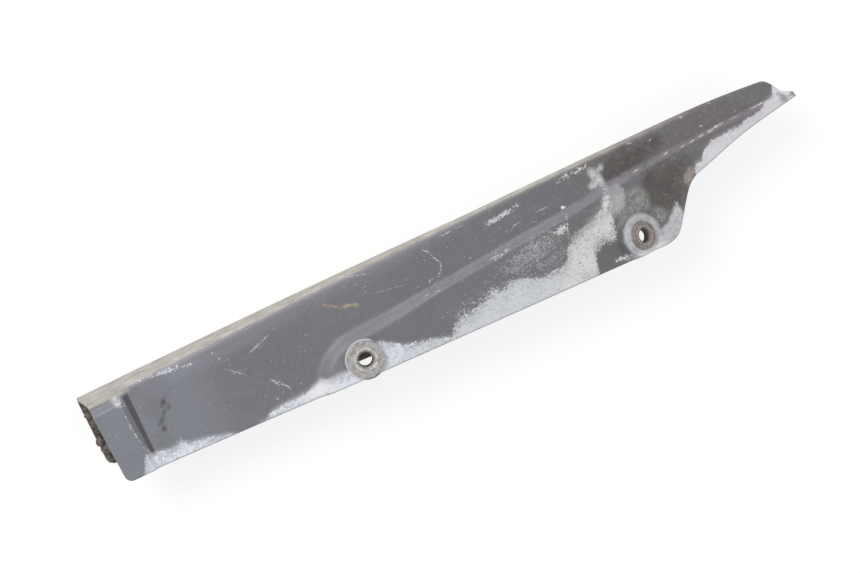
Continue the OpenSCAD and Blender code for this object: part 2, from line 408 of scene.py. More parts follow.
def sheet_skins():
    """Outer and inner skin of the moulding, each as stations by section lines."""
    station = station_list()[:, None]
    end_gap = np.minimum(station + FRONT_REACH, TAIL_REACH - station)
    rim = WALL / 2 * (1 - rim_share(end_gap))
    near_bend = np.radians(np.linspace(0, 90, 11)[1:])[None, :]
    flange = np.linspace(0, 1, 12)[None, 1:-1]
    far_bend = np.radians(np.linspace(90, 180, 10))[None, :]
    folds = ((near_bend, 0.0), (math.radians(90), flange), (far_bend, 1.0))
    plates = plate_skins(station, rim)
    walls = wall_skins(station, end_gap, rim)
    skins = []
    for plate, wall, part in zip(plates, walls, (rim, WALL - rim)):
        folded = [np.stack(channel(station, angle, back, part), -1) for angle, back in folds]
        skins.append(np.concatenate([plate, *folded, wall], 1))
    return skins


def closed_sheet(name, outer, inner):
    """One closed mesh from two skins of the same grid."""
    n, m = outer.shape[:2]
    points = np.concatenate([outer.reshape(-1, 3), inner.reshape(-1, 3)])
    a = (np.arange(n - 1)[:, None] * m + np.arange(m - 1)[None, :]).ravel()
    skin = np.stack([a, a + m, a + m + 1, a + 1], 1)
    back = skin[:, ::-1] + n * m
    i = np.arange(n - 1) * m
    low = np.stack([i, i + n * m, i + m + n * m, i + m], 1)
    k = i + m - 1
    far = np.stack([k, k + m, k + m + n * m, k + n * m], 1)
    j = np.arange(m - 1)
    front = np.stack([j, j + 1, j + 1 + n * m, j + n * m], 1)
    t = j + (n - 1) * m
    tail = np.stack([t, t + n * m, t + 1 + n * m, t + 1], 1)
    faces = np.concatenate([skin, back, low, far, front, tail])
    return new_mesh(name, points, faces)


def new_object(name, data):
    obj = bpy.data.objects.new(name, data)
    bpy.context.scene.collection.objects.link(obj)
    return obj


def new_mesh(name, points, faces):
    """Mesh object from points in millimetres, moved to the solids' own origin."""
    mesh = bpy.data.meshes.new(name)
    points = (np.asarray(points, float) - (0, 0, LEVEL)) * MM
    mesh.from_pydata([tuple(p) for p in points], [], [tuple(int(i) for i in f) for f in faces])
    mesh.validate()
    return new_object(name, mesh)


def store(mesh, fields, domain="POINT"):
    """Keeps named values on the mesh, for its material to read."""
    for name, values in fields.items():
        attribute = mesh.attributes.new(name, "FLOAT", domain)
        attribute.data.foreach_set("value", values.astype(np.float32))


def lathe(name, profile, segments, place, wobble=None):
    """Closed ring of revolution from a closed profile of (radius, height) points."""
    profile = np.array(profile, float)
    count = len(profile)
    angle = np.arange(segments) / segments * math.tau
    radius = profile[None, :, 0] * np.ones((segments, 1))
    height = profile[None, :, 1] * np.ones((segments, 1))
    if wobble is not None:
        radius, height = wobble(angle[:, None], radius, height)
    points = np.stack([radius * np.cos(angle)[:, None], radius * np.sin(angle)[:, None], height], -1)
    i = np.arange(segments)[:, None] * count
    i2 = (np.arange(segments)[:, None] + 1) % segments * count
    k = np.arange(count)[None, :]
    k2 = (k + 1) % count
    faces = np.stack([i + k, i2 + k, i2 + k2, i + k2], -1).reshape(-1, 4)
    ring = new_mesh(name, place(points.reshape(-1, 3)), faces)
    store(ring.data, {"radius": radius.ravel(), "height": height.ravel()})
    return ring


def rounded(profile, radii, steps):
    """Closed profile with each corner rounded by its own radius."""
    corners = [Vector(p) for p in profile]
    out = []
    for i, (corner, radius) in enumerate(zip(corners, radii)):
        if radius <= 0:
            out.append(tuple(corner))
            continue
        before, after = corners[i - 1] - corner, corners[(i + 1) % len(corners)] - corner
        reach = min(radius, before.length * 0.45, after.length * 0.45)
        start, end = corner + before.normalized() * reach, corner + after.normalized() * reach
        for step in range(steps + 1):
            t = step / steps
            out.append(tuple(start * (1 - t) ** 2 + corner * 2 * t * (1 - t) + end * t * t))
    return out


def at_front(points):
    """From the front fixing's own frame to the guard's."""
    return points + np.array([0, 0, FRONT_SEAT])


def at_rear(points):
    """From the rear fixing's own frame to the guard's."""
    c, s = math.cos(REAR_CANT), math.sin(REAR_CANT)
    turn = np.array([[c, 0, s], [0, 1, 0], [-s, 0, c]])
    return points @ turn.T + np.array(REAR_AT)


def apply_modifiers(obj):
    """Replaces an object's mesh by what its modifiers make of it."""
    graph = bpy.context.evaluated_depsgraph_get()
    made = bpy.data.meshes.new_from_object(obj.evaluated_get(graph))
    obj.modifiers.clear()
    old = obj.data
    obj.data = made
    bpy.data.meshes.remove(old)


def combine(obj, tool, operation):
    """Boolean of two closed meshes; the tool is used up."""
    modifier = obj.modifiers.new("combine", "BOOLEAN")
    modifier.operation = operation
    modifier.solver = "EXACT"
    modifier.object = tool
    apply_modifiers(obj)
    tool_mesh = tool.data
    bpy.data.objects.remove(tool)
    bpy.data.meshes.remove(tool_mesh)


def shade(obj, angle=32):
    """Smooth shading, with edges kept where faces meet at more than an angle in degrees."""
    obj.data.shade_smooth()
    obj.data.set_sharp_from_angle(angle=math.radians(angle))


def plug(name, place, radius, low, high):
    """Closed cylinder between two heights, used as a cutting tool."""
    n = PLUG_SIDES
    angle = np.arange(n) / n * math.tau
    circle = [radius * np.cos(angle), radius * np.sin(angle)]
    rings = [np.stack([*circle, np.full(n, height)], 1) for height in (low, high)]
    points = np.concatenate(rings + [[(0, 0, low), (0, 0, high)]])
    faces = []
    for i in range(n):
        j = (i + 1) % n
        faces += [(j, i, 2 * n), (n + i, n + j, 2 * n + 1), (i, j, n + j), (i, n + j, n + i)]
    return new_mesh(name, place(points), faces)


def pad_ring(name, bore, radius, thickness, place):
    """Ring under a collar's flange, its top at height 0."""
    profile = [(bore, -thickness), (radius, -thickness), (radius, 0), (bore, 0)]
    return lathe(name, rounded(profile, [0.3, 0.3, 0.4, 0.2], 4), PAD_SIDES, place)


def skin_depth(x, y, z):
    """Depth below the outer skin, on the plate, the flange and the inner wall."""
    centre = top_y(x) - BEND
    deep = depth_at(x)
    far = np.clip((-z - BEND) / (deep - 2 * BEND), 0, 1)
    front_corner = BEND - np.hypot(y - centre, z + BEND)
    back_centre = centre + lean(x)
    back_corner = BEND - np.hypot(y - back_centre, z + deep - BEND)
    back = np.where(y < back_centre, z + deep, back_corner)
    walls = np.where(z > BEND - deep, top_y(x) + lean(x) * far - y, back)
    plate = np.where(y < centre, face_z(x, y) - z, front_corner)
    plate = np.where(z > -BEND, plate, walls)
    return np.where((y < centre) & (z > -WALL - BEND), face_z(x, y) - z, plate)


def outside(x, y, rows):
    """Distance outside the union of several ellipses: x, y, length, width and angle of each."""
    total = np.full(x.shape, 1e3)
    for cx, cy, length, width, angle in rows:
        c, s = math.cos(math.radians(angle)), math.sin(math.radians(angle))
        along = ((x - cx) * c + (y - cy) * s) / (length / 2)
        across = ((y - cy) * c - (x - cx) * s) / (width / 2)
        total = np.minimum(total, (np.hypot(along, across) - 1) * min(length, width) / 2)
    return total


def white_band(x, y):
    """Distance outside the worn white zones, from their upper and lower borders."""
    upper, lower = (np.interp(x, *zip(*points)) for points in (WHITE_TOP, WHITE_FOOT))
    return np.maximum(y - upper, lower - y)


def nearest_stroke(mesh, x, y, rows):
    """Place of each face's corners along and across the stroke nearest to the face, in half sizes."""
    corner = np.empty(len(mesh.loops), dtype=np.int64)
    mesh.loops.foreach_get("vertex_index", corner)
    count = np.empty(len(mesh.polygons), dtype=np.int64)
    mesh.polygons.foreach_get("loop_total", count)
    face = np.repeat(np.arange(len(count)), count)
    x, y = x[corner], y[corner]
    middle_x, middle_y = (np.bincount(face, v) / count for v in (x, y))
    cx, cy, length, width, angle = np.array(rows, float).T
    c, s = np.cos(np.radians(angle)), np.sin(np.radians(angle))
    best, chosen = np.full(len(count), 1e9), np.zeros(len(count), dtype=np.int64)
    for i in range(len(rows)):
        along = (middle_x - cx[i]) * c[i] + (middle_y - cy[i]) * s[i]
        across = (middle_y - cy[i]) * c[i] - (middle_x - cx[i]) * s[i]
        far = np.hypot(across, np.maximum(np.abs(along) - length[i] / 2, 0))
        chosen[far < best] = i
        best = np.minimum(far, best)
    i = chosen[face]
    along = ((x - cx[i]) * c[i] + (y - cy[i]) * s[i]) / (length[i] / 2)
    return along, ((y - cy[i]) * c[i] - (x - cx[i]) * s[i]) / (width[i] / 2)


def lit_slope(x, y):
    """Share of the painted highlight on the step, brightest at its crest and wide round the front fixing.
    """
    down = inside(x, y) / slope_w(x)
    far = np.where(down > 0, down * mix(0.2, 1, smooth((x + 4) / 12)), -down)
    crest = smooth((x - 45) / 20) * (1 - smooth((x - 115) / 20)) * np.clip(-4 * down, 0, 1)
    strength = mix(0.3, 0.75, smooth((x + 6) / 46)) + 0.25 * crest
    return np.clip(1.3 - 2 * far, 0, 1) * strength


def guard_fields(mesh):
    """Stores what the moulding's material reads; distances are in millimetres."""
    co = np.empty(len(mesh.vertices) * 3)
    mesh.vertices.foreach_get("co", co)
    x, y, z = (co.reshape(-1, 3) / MM + (0, 0, LEVEL)).T
    mark_y = y + MARK_SHIFT
    fields = {name: outside(x, mark_y, rows) for name, rows in WEAR_AND_PAINTED_LIGHT.items()}
    fields["white"] = white_band(x, mark_y)
    fields["above_edge"] = y - low_y(np.clip(x, -FRONT_REACH, TAIL_REACH))
    fields["slope"] = lit_slope(x, y)
    fields["skin_depth"] = skin_depth(x, y, z)
    fields["fold"] = np.clip(-z, 0, 20)
    store(mesh, fields)
    for name, rows in STROKES.items():
        along, across = nearest_stroke(mesh, x, mark_y, [stroke(*row) for row in rows])
        store(mesh, {name + "_along": along, name + "_across": across}, "CORNER")


def make_guard():
    """The moulding: one sheet with a hole and a raised pad for each collar."""
    outer, inner = sheet_skins()
    guard = closed_sheet("worn_guard", outer, inner)
    front_bore = FRONT_COLLAR["sleeve_r"] + CLEARANCE
    rear_bore = REAR_COLLAR["sleeve_r"] + CLEARANCE
    front_pad_t = WALL + FRONT_SEAT - STEP_H
    combine(guard, plug("front_cut", at_front, **FRONT_CUT), "DIFFERENCE")
    combine(guard, plug("rear_cut", at_rear, **REAR_CUT), "DIFFERENCE")
    combine(guard, pad_ring("front_pad", front_bore, FRONT_PAD_R, front_pad_t, at_front), "UNION")
    combine(guard, pad_ring("rear_pad", rear_bore, REAR_PAD_R, WALL, at_rear), "UNION")
    guard_fields(guard.data)
    shade(guard)
    return guard


def make_collar(name, place, seed, flange_r, flange_t, sleeve_r, length, bore_r, flare):
    """Flanged collar with a flared mouth, a little out of true."""
    under = flange_t - length
    mouth = np.linspace(0, 1, 9)
    flared = [(bore_r + flare * (1 - math.cos(a)), flange_t - flare * MOUTH * (1 - math.sin(a)))
              for a in mouth[::-1] * math.pi / 2]
    profile = [(bore_r, under), (sleeve_r, under), (sleeve_r, 0), (flange_r, 0), (flange_r, flange_t)]
    radii = [0.2, 0.3, 0.1, 0.25, 0.55, 0.3] + [0] * (len(flared) - 1)
    shape = rounded(profile + flared, radii, 5)
    rng = random.Random(seed)
    phases = [rng.uniform(0, math.tau) for _ in range(4)]

    def battered(angle, radius, height):
        dent = 0.05 * np.sin(3 * angle + phases[0]) + 0.035 * np.sin(7 * angle + phases[1])
        lip = (radius > flange_r - 1.0) * (height > flange_t - 1.0)
        mouth_rim = (radius < bore_r + flare) * (height > flange_t - flare)
        oval = 0.06 * np.sin(2 * angle + phases[2]) + 0.03 * np.sin(5 * angle + phases[3])
        return radius + lip * dent + mouth_rim * oval, height - lip * np.abs(dent)
    return lathe(name, shape, COLLAR_SIDES, place, battered)


def make_grease():
    """Caked grease and dust on the inner wall at the open front end."""
    rng = random.Random(GREASE_SEED)
    noise.seed_set(GREASE_SEED)
    work = bmesh.new()
    for row in range(GREASE_ROWS):
        for column in range(GREASE_COLUMNS):
            out = 0.8 if row > 3 else 0.0
            x = -FRONT_REACH - INNER_REACH + 2.5 - out + GREASE_PITCH * column + rng.uniform(-1.0, 0.6)
            y = mix(FRONT_RISE - 5.0, 4.6, (row + rng.uniform(-0.2, 0.2)) / (GREASE_ROWS - 1))
            z = WALL - DEPTH + rng.uniform(0.4, 1.6)
            size = [rng.uniform(2.0, 3.3), rng.uniform(2.2, 3.4), rng.uniform(1.8, 2.6)]
            place = Matrix.Translation((x, y, z)) @ Matrix.Rotation(rng.uniform(0, 3), 4, "Z")
            lump = place @ Matrix.Diagonal((*size, 1))
            bmesh.ops.create_icosphere(work, subdivisions=3, radius=1, matrix=lump)
    for vertex in work.verts:
        point = vertex.co
        vertex.co = point + 0.7 * noise.noise_vector(point * 0.45) + 0.2 * noise.noise_vector(point * 1.7)
    points = [tuple(v.co) for v in work.verts]
    faces = [[v.index for v in f.verts] for f in work.faces]
    work.free()
    grease = new_mesh("caked_grease", points, faces)
    melt = grease.modifiers.new("melt", "REMESH")
    melt.mode = "VOXEL"
    melt.voxel_size = GREASE_GRAIN * MM
    apply_modifiers(grease)
    shade(grease, angle=60)
    return grease


def make_camera():
    """Camera rolled until the guard's long axis has its angle in the picture."""
    data = bpy.data.cameras.new("camera")
    data.sensor_width = SENSOR
    data.lens = FOCAL_PIXELS / IMAGE_W * SENSOR
    data.clip_start = 0.01
    camera = new_object("camera", data)
    level = Vector((0, 0, LEVEL))
    at = (Vector(CAMERA_AT) - level) * MM
    forward = (Vector(CAMERA_TARGET) - Vector(CAMERA_AT)).normalized()
    right = forward.cross(Vector((0, 1, 0))).normalized()
    up = right.cross(forward)
    roll = GUARD_ANGLE - math.atan2(up.x, right.x)
    c, s = math.cos(roll), math.sin(roll)
    right, up = c * right - s * up, s * right + c * up
    turn = Matrix((right, up, -forward)).transposed().to_4x4()
    camera.matrix_world = Matrix.Translation(at) @ turn
    bpy.context.scene.camera = camera


def new_node(tree, kind):
    return tree.nodes.new("ShaderNode" + kind)


class Value:
    """A socket in a node tree that can be used in sums."""

    def __init__(self, graph, socket):
        self.graph, self.socket = graph, socket

    def _do(self, operation, other):
        return self.graph.math(operation, self, other)

    def __add__(self, other):
        return self._do("ADD", other)

    def __sub__(self, other):
        return self._do("SUBTRACT", other)

    def __mul__(self, other):
        return self._do("MULTIPLY", other)

    def __rsub__(self, other):
        return self.graph.math("SUBTRACT", other, self)

    def least(self, other):
        return self._do("MINIMUM", other)

    def most(self, other):
        return self._do("MAXIMUM", other)

    __radd__ = __add__
    __rmul__ = __mul__


class Graph:
    """Builds one material's nodes."""

    def __init__(self, name):
        self.material = bpy.data.materials.new(name)
        self.material.use_nodes = True
        self.tree = self.material.node_tree
        self.tree.nodes.clear()
        self.output = new_node(self.tree, "OutputMaterial")
        self.seeds = 0
        coords = new_node(self.tree, "TexCoord")
        scaled = new_node(self.tree, "VectorMath")
        scaled.operation = "SCALE"
        scaled.inputs["Scale"].default_value = 1 / MM
        self.tree.links.new(coords.outputs["Object"], scaled.inputs[0])
        self.place = scaled.outputs[0]
        split = new_node(self.tree, "SeparateXYZ")
        self.tree.links.new(self.place, split.inputs[0])
        self.x, self.y = (Value(self, split.outputs[name]) for name in "XY")

    def put(self, socket, value):
        if isinstance(value, Value):
            self.tree.links.new(value.socket, socket)
        elif isinstance(value, bpy.types.NodeSocket):
            self.tree.links.new(value, socket)
        else:
            socket.default_value = value

    def math(self, operation, *values):
        node = new_node(self.tree, "Math")
        node.operation = operation
        for socket, value in zip(node.inputs, values):
            self.put(socket, value)
        return Value(self, node.outputs[0])

    def ramp(self, value, low, high, start, end, kind="LINEAR"):
        """Change from start at low to end at high, level outside them."""
        node = new_node(self.tree, "MapRange")
        node.interpolation_type = kind
        self.put(node.inputs["Value"], value)
        for name, limit in (("From Min", low), ("From Max", high), ("To Min", start), ("To Max", end)):
            self.put(node.inputs[name], limit)
        return Value(self, node.outputs["Result"])

    def step(self, value, low, high):
        """Smooth rise from 0 at low to 1 at high."""
        return self.ramp(value, low, high, 0.0, 1.0, "SMOOTHSTEP")

    def fade(self, value, low, high):
        """Smooth fall from 1 at low to 0 at high."""
        return 1 - self.step(value, low, high)

    def between(self, value, rise, fall):
        """Smooth rise over one range and fall over another."""
        return self.step(value, *rise) * self.fade(value, *fall)

    def noise(self, size, detail, rough, stretch=(1, 1, 1), turn=0.0):
        """Noise of 0 to 1 whose blobs are about size millimetres, each at a fresh place."""
        self.seeds += 1
        place = new_node(self.tree, "Mapping")
        self.put(place.inputs["Vector"], self.place)
        place.inputs["Location"].default_value = [shift * self.seeds for shift in NOISE_SHIFT]
        place.inputs["Rotation"].default_value = (0, 0, turn)
        place.inputs["Scale"].default_value = stretch
        node = new_node(self.tree, "TexNoise")
        self.put(node.inputs["Vector"], place.outputs[0])
        node.inputs["Scale"].default_value = 1 / size
        node.inputs["Detail"].default_value = detail
        node.inputs["Roughness"].default_value = rough
        return Value(self, node.outputs["Fac"])

    def field(self, name):
        node = new_node(self.tree, "Attribute")
        node.attribute_name = name
        return Value(self, node.outputs["Fac"])

    def stroke(self, name, wobble):
        """Cover of the nearest stroke, its line made uneven by a wobble."""
        along, across = self.field(name + "_along"), self.field(name + "_across") + wobble
        return self.fade(self.math("SQRT", along * along + across * across), 0.8, 1.7)

    def flakes(self, distance, reach, noise, full, none):
        """Cover that is whole inside a patch and breaks into flakes across its border."""
        level = self.ramp(distance, -reach, reach, full, none)
        return self.step(noise - level, -FLAKE_EDGE, FLAKE_EDGE)

    def blend(self, factor, a, b):
        node = new_node(self.tree, "Mix")
        node.data_type = "RGBA"
        node.clamp_factor = True
        self.put(node.inputs[0], factor)
        self.put(node.inputs[6], a)
        self.put(node.inputs[7], b)
        return node.outputs[2]

    def bump(self, height, distance):
        node = new_node(self.tree, "Bump")
        node.inputs["Distance"].default_value = distance * MM
        self.put(node.inputs["Height"], height)
        return node.outputs[0]

    def finish(self, color, roughness, normal, metallic=0.0, specular=0.5):
        node = new_node(self.tree, "BsdfPrincipled")
        self.put(node.inputs["Base Color"], color)
        self.put(node.inputs["Roughness"], roughness)
        self.put(node.inputs["Metallic"], metallic)
        node.inputs["Specular IOR Level"].default_value = specular
        self.put(node.inputs["Normal"], normal)
        self.tree.links.new(node.outputs[0], self.output.inputs["Surface"])
        return self.material


def stroke(x0, y0, x1, y1, width):
    """Thin ellipse from one point to another: x, y, length, width and angle."""
    length = math.hypot(x1 - x0, y1 - y0) + width
    return ((x0 + x1) / 2, (y0 + y1) / 2, length, width, math.degrees(math.atan2(y1 - y0, x1 - x0)))


# Borders of the worn white zones: the upper one, and the lower one where a zone hangs free
WHITE_TOP = [
    (-136, -12), (-131, -11.5), (-127.5, -7), (-124.5, -3.4), (-122.5, 1.5), (-120.5, 3.6), (-118, 3.0),
    (-113, 2.0), (-108, 0.6), (-103, 1.8), (-98.5, -0.4), (-92, -1.4), (-82.6, -4.1), (-76, -6.1),
    (-72, -9), (-68, -9), (-62, -7.2), (-58, -6.6), (-55, -4.4), (-48.7, -3.4), (-39.6, -3.2),
    (-34, -3.0), (-29.5, -1.8), (-25, 0.2), (-20, -2.6), (-15.8, -3.2), (-10, -2.0), (0, -0.5),
    (7, 5.4), (10.5, 4.9), (22.8, -2.9), (29.3, -4.5), (37, -6.4), (43.3, -8.7), (46, -9.0), (49, -5),
    (53, -2.8), (59.8, -2.2), (66.6, -0.9), (73.7, 3.2), (79.8, 0.6), (84.5, 2.4), (92.8, 1.6),
    (96.5, -0.9), (103, -1.6), (113, -1.6), (116.5, 1.4), (117.5, 4.4), (121.2, 8.6), (127.2, 10.6),
    (131.6, 13.2), (137, 15.4), (142.6, 17.8), (144.4, 22.2), (149.4, 24.6), (156, 25.2), (158, 20),
    (159, -30), (192.5, -30), (194.5, 8), (196, 15.5), (197.5, 17.8), (201.2, 18), (204.3, 22.6),
    (210, 25.2), (222, 26.0), (228, 25.9), (231, 27.6), (238.5, 28.0), (242, 30.0), (244.4, 31.2),
    (249.6, 32.5), (251.5, 36.5), (254, 43), (262, 45),
]
WHITE_FOOT = [
    (-136, -40), (119, -40), (126, -17), (128.5, -9), (129.8, -0.5), (136.2, 3.1), (142.4, 1.6),
    (145, 5.8), (146, 13.5), (153, 14.2), (157, 20), (160, 40), (185, 40), (190, -40), (262, -40),
]

# Patches: x, y, length, width and angle
FLAKY = [
    (146, 20, 15, 4, 60), (141, 15.5, 10, 3, 20), (94.5, 36.6, 18, 3.2, 8), (88, 36.0, 7, 2.6, 10),
    (132.5, 40.8, 9, 2.6, 12), (141, 40.8, 10, 2.2, 5), (143.5, -10.2, 8, 2.6, -3),
    (87.5, 19.3, 8, 1.6, 25), (119.2, 17.6, 7, 5, 20), (-108, 40.0, 15, 1.8, -3),
    (-92, 38.2, 19, 2.0, -10), (-121.6, 37.0, 10, 2.6, -74),
]
MOTTLED = [(100, 13, 48, 17, 12), (108, 5, 34, 10, 8), (68, 3, 40, 8, 5), (166, 1.5, 11, 8, 0)]
MILKY = [
    (156.6, -3.4, 21.4, 22.6, 0), (172, -9, 24, 11, 20), (179.0, -0.6, 4.6, 7, 10), (177, -4, 9, 9, 10),
    (166, -11.5, 30, 5, -6), (-19, -4.4, 18, 8, 8), (13.5, -0.8, 10, 7, -25),
]
GRIME = [
    (166, 34.5, 30, 13, -2), (158, 35, 18, 11, 10), (180, 38, 14, 5, -8), (177, 14, 24, 23, -4),
    (189, 10, 10, 22, 16), (184, 22, 24, 9, 0),
]
DARK_PANEL = [
    (139, -4, 18, 14, -20), (134, -8, 12, 8, 0), (148, 4, 10, 8, 30), (95, -4, 7, 12, 20),
    (88, 9, 14, 3, 10),
]
BLOBS = [
    (-122.6, 35.5, 4, 7, 20), (-132, 41, 5, 3, 20), (147.5, 33.5, 5.5, 13, 18), (144.2, 30.4, 5, 4, 0),
    (151.3, 37, 4, 3, 40),
]
GREEN_GREY = [
    (161, 13.5, 14, 17, 5), (154.5, 13, 10, 16, 10), (157.5, 7.5, 13, 6, 0), (168.5, 2, 9, 9, 10),
]
BRIGHT = [(-28, -4.2, 11, 5, 8), (157, -12.6, 18, 4, -4)]
DOTS = [(125.5, 26.7, 1.9, 2.5, 60)]
DARK_SPOTS = [
    (-101.6, 24.9, 5, 2.4, 60), (-100.3, 21.6, 3, 2, 90), (-107.7, 15.9, 3.2, 2, 70),
    (-107.2, 12.2, 3.6, 2.6, 40), (-104, 19, 6, 1.4, 60),
]
OCHRE = [(-3.6, 31.8, 9, 0.9, -35), (2.5, 29.0, 7, 1.6, -8), (7.3, 27.6, 3.6, 2.0, -50)]
# Painted highlight along the top of the panel, where it turns into the bend
LAVENDER = [(-60, 37.5, 96, 9, 2), (20, 41, 100, 6, 2)]
TIP = [(253.6, 29.5, 3.4, 6, 20), (259.6, 29.8, 4, 4, 0)]
NOTCH = [(191.8, 13.6, 9, 6, 45)]

# Strokes: x and y of both ends, and width
SCRATCHES = [
    (-121.4, 23.4, -121.5, 20.0, 0.9), (-121.2, 17.5, -120.9, 15.0, 0.8), (-121.6, 28, -121.5, 26, 0.5),
    (-120.6, 12.5, -120.3, 10.5, 0.7), (-120.0, 8.5, -119.0, 5.0, 1.1), (50.6, 37.8, 52.3, 36, 0.7),
    (52.3, 36, 53.6, 32.3, 0.6), (53.6, 32.3, 55.7, 28.1, 0.7), (55.7, 28.1, 54.9, 25.6, 0.6),
    (54.9, 25.6, 51.3, 21.4, 0.9), (47.4, 22.4, 47.8, 22.4, 1.0), (40.1, 16, 43.1, 16.5, 0.6),
    (46.8, 15.9, 49.3, 16.2, 0.6), (61.4, 40.6, 67, 40.7, 0.5), (70.8, 40.9, 74.7, 40.8, 0.5),
    (112.1, 30.6, 117.1, 30.6, 0.5), (107, 26.5, 109.2, 26.5, 0.6), (95.9, 27.4, 98.3, 29.2, 0.5),
    (98.3, 29.2, 101.3, 29.6, 0.5), (103, 15.3, 103.4, 15.3, 1.2), (124.2, 21.6, 121, 12.7, 0.9),
    (80.3, 19.2, 85.3, 19.2, 0.8), (82, 17.9, 83.6, 20.6, 0.7), (-49.7, 29.2, -41.3, 32, 0.9),
    (-46, 29.4, -44.6, 31.4, 0.9), (-65, 25.2, -59.4, 20.2, 0.7), (-63.4, 22.4, -60.5, 22.6, 0.8),
    (-47.2, 10.3, -43.6, 6.4, 1.4), (-44.4, 8.1, -41.2, 3.7, 0.9), (-49, 1, -48.6, 1, 0.9),
    (-45.3, 2.6, -45, 2.6, 0.8), (-88, 1.6, -87.6, 1.6, 0.8), (-67, 32.6, -66.8, 32.6, 0.9),
    (-68.8, 36.5, -68.5, 36.5, 1.0), (-103, 2.9, -100.4, 1.9, 1.3), (-101.8, 3.6, -101, 0.9, 1.0),
    (9.8, 42, 18.8, 39.4, 0.5), (19.8, 28.4, 34, 25.9, 0.2), (200.6, 43, 201.4, 42.6, 1.0),
    (208.2, 34.5, 209, 34.3, 0.7), (180.3, 39.2, 181.2, 39.1, 0.8), (169.8, 42.3, 171, 42, 0.9),
    (217.6, 43, 218.4, 43, 0.6), (178.5, -1, 179.3, 3, 2.6), (48.6, -9, 49.2, -3, 0.5),
    (-118.8, 2, -118.4, -5, 0.5),
]
RIDGE_CHIPS = [
    (184, 29.3, 186.4, 29.6, 0.5), (205, 29.8, 207.0, 30.2, 0.7), (210.6, 30.2, 213.0, 30.4, 0.8),
    (214.4, 30.7, 219.0, 31.0, 0.6), (236.5, 31.4, 243.5, 31.6, 0.5), (194, 29.2, 196, 29.5, 0.3),
    (198.5, 29.3, 201.5, 29.7, 0.35), (224, 30.9, 228, 31.1, 0.3), (166, 28.0, 169, 28.3, 0.3),
]

# Patches of wear, dirt and stains, and the painted highlights on the front pad's rim and along the top of
# the panel
WEAR_AND_PAINTED_LIGHT = dict(flaky=FLAKY, mottled=MOTTLED, milky=MILKY, grime=GRIME, dark_panel=DARK_PANEL, blobs=BLOBS,
            pad_rim_highlight=[(0, 0.5, 21.0, 21.0, 0)], tip=TIP, notch=NOTCH, green_grey=GREEN_GREY,
            dark_spots=DARK_SPOTS, ochre=OCHRE, lavender=LAVENDER, bright=BRIGHT, dots=DOTS)
STROKES = dict(scratch=SCRATCHES, chip=RIDGE_CHIPS)


def moulding_material():
    """Worn black moulding, with some light and shade painted into its colour; distances are in millimetres
    on the panel.
    """
    g = Graph("worn_moulding")
    big, mid, fine = g.noise(9, 3, 0.55), g.noise(2.4, 4, 0.62), g.noise(0.8, 4, 0.66)
    streaks = g.noise(1.6, 4, 0.62, stretch=(0.14, 1, 1), turn=math.radians(-3))
    slow = g.noise(34, 3, 0.5)
    rough_edge = (mid - 0.5) * 3.4
    soft_edge = (big - 0.5) * 6
    wear = moulding_cover(g, big, mid, fine, streaks, rough_edge, soft_edge)
    color = panel_color(g, big, mid, fine, slow, streaks, rough_edge, soft_edge)
    color = wear_and_highlight_color(g, color, wear, big, mid, fine, streaks, rough_edge)
    color, dust_and_light = dirt_light_and_shade_color(g, color, big, mid, fine, streaks)
    worn = wear["cover"].most(wear["milk"] * 0.6).most(dust_and_light)
    rough = 0.42 + 0.24 * worn + 0.10 * fine
    bumps = wear["cover"] * 0.6 + wear["marks"] * 0.5 + fine * 0.5
    return g.finish(color, rough, g.bump(bumps, 0.10))


def moulding_cover(g, big, mid, fine, streaks, rough_edge, soft_edge):
    """How much each kind of white wear covers the moulding, 0 to 1."""
    white = g.field("white")
    front = g.fade(g.x, -12.0, 30.0)
    grain = fine * 0.55 + mid * 0.25 + streaks * 0.2
    tail = g.step(g.x, 188.0, 200.0)
    grainy = g.between(g.x, (38.0, 52.0), (78.0, 100.0)) + g.between(g.x, (110.0, 120.0), (150.0, 158.0))
    level = 0.47 + (white + soft_edge * 0.3) * (0.050 + front * 0.07 + tail * 0.08 - grainy * 0.022)
    soft = FLAKE_EDGE + front * 0.05
    solid = g.step(grain - level.least(0.70).most(0.28), 0 - soft, soft)
    veil = g.fade(white + (mid - 0.5) * 3, -1.5, 3.0) * (0.28 + front * 0.25)
    flaky = g.field("flaky") + rough_edge * 0.8 + soft_edge * 0.4
    loose = g.flakes(flaky, 1.9, fine * 0.6 + mid * 0.4, full=0.38, none=0.70)
    mottled = g.field("mottled") + soft_edge
    mottle = g.flakes(mottled, 6.0, fine * 0.85 + mid * 0.15, full=0.47, none=0.74)
    holed = g.step(g.x, 44.0, 60.0) * 0.5 + g.step(g.x, 108.0, 124.0) * 0.5
    holed = holed * g.fade(g.x, 156.0, 162.0)
    high = g.step(g.y, 9.0, 17.0) * 0.11
    holes = g.step(mid * 0.5 + fine * 0.5 + high, 0.55, 0.59) * holed
    cover = (solid * (1 - holes * 0.85)).most(loose)
    milk = g.fade(g.field("milky") + rough_edge * 0.8, -1.0 - front * 0.6, 0.8 + front * 0.8)
    wobble = (g.noise(1.2, 3, 0.6) - 0.5) * 3
    marks = g.stroke("scratch", wobble) * g.step(fine, 0.44, 0.56)
    chips = g.stroke("chip", wobble) * g.step(fine, 0.42, 0.54)
    specks = g.step(g.noise(1.1, 1, 0.5), 0.715, 0.745) * g.step(big, 0.44, 0.56)
    return dict(cover=cover, veil=veil, mottle=mottle, milk=milk, marks=marks, chips=chips, specks=specks)


